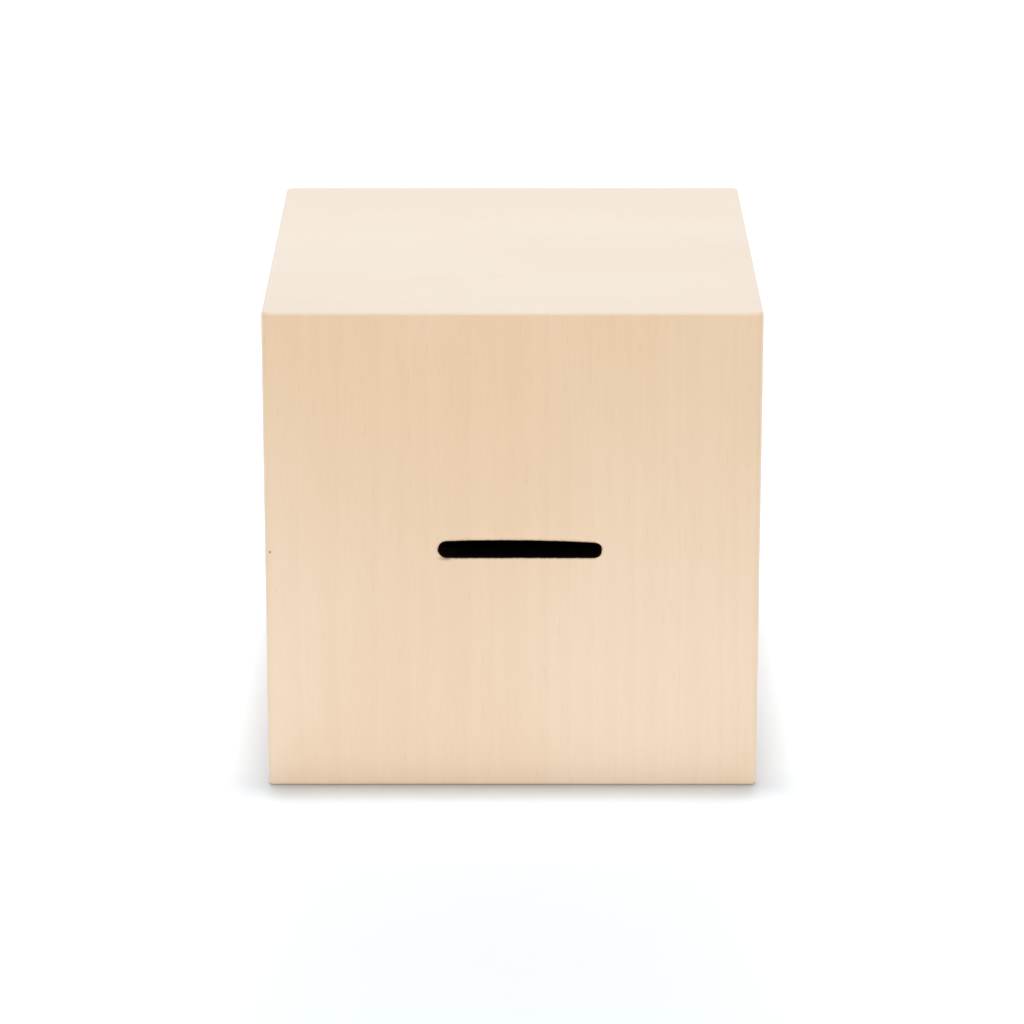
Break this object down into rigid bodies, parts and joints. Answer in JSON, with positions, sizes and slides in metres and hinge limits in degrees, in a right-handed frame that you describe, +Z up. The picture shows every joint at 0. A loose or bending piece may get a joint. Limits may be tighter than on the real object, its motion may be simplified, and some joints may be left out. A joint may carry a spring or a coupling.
{
  "type": "wooden puzzle box",
  "caption": "Nearly cubic wooden puzzle money box with a rounded coin slot, mitred boards and a hidden drawer at the back, held by a lock that spinning the box releases.",
  "frame": {"origin": "centre of the underside, on the surface that the box stands on", "axes": "+X to the right seen from the slotted front, +Y from the slotted front to the back and the way the drawer opens, +Z up"},
  "size_m": [0.1, 0.11, 0.1],
  "materials": {
    "board_wood": "pale fine-grained wood, sanded smooth, thin matt oil",
    "inner_wood": "plain sanded wood, unfinished",
    "hardwood": "darker close-grained wood, sanded, unfinished",
    "felt": "thin pressed wool felt, charcoal",
    "steel": "ground steel rod with chamfered ends"
  },
  "bodies": {
    "shell": {"front_panel": "board_wood", "left_panel": "board_wood", "right_panel": "board_wood", "top_panel": "board_wood", "bottom_panel": "board_wood", "spline_front_top": "hardwood", "spline_front_right": "hardwood", "spline_front_bottom": "hardwood", "spline_front_left": "hardwood", "spline_top_right": "hardwood", "spline_top_left": "hardwood", "spline_bottom_right": "hardwood", "spline_bottom_left": "hardwood", "drawer_stop_peg": "hardwood", "runner_left": "hardwood", "runner_right": "hardwood", "kicker_left": "inner_wood", "kicker_right": "inner_wood", "coin_ramp": "inner_wood", "lock_block_left": "inner_wood", "lock_block_right": "inner_wood"},
    "drawer": {"drawer_face": "board_wood", "drawer_side_left": "inner_wood", "drawer_side_right": "inner_wood", "drawer_inner_end": "inner_wood", "drawer_floor": "inner_wood", "drawer_felt": "felt", "lock_tongue": "hardwood", "tongue_dowel_left": "inner_wood", "tongue_dowel_right": "inner_wood"},
    "pin_left": {"lock_pin_left": "steel"},
    "pin_right": {"lock_pin_right": "steel"}
  },
  "joints": [
    {"name": "drawer_slide", "type": "slide", "parent": "shell", "child": "drawer", "axis": [0, 1, 0], "range_m": [0, 0.075]},
    {"name": "pin_left_slide", "type": "slide", "parent": "shell", "child": "pin_left", "axis": [1, 0, 0], "range_m": [0, 0.0153]},
    {"name": "pin_right_slide", "type": "slide", "parent": "shell", "child": "pin_right", "axis": [-1, 0, 0], "range_m": [0, 0.0153]}
  ]
}
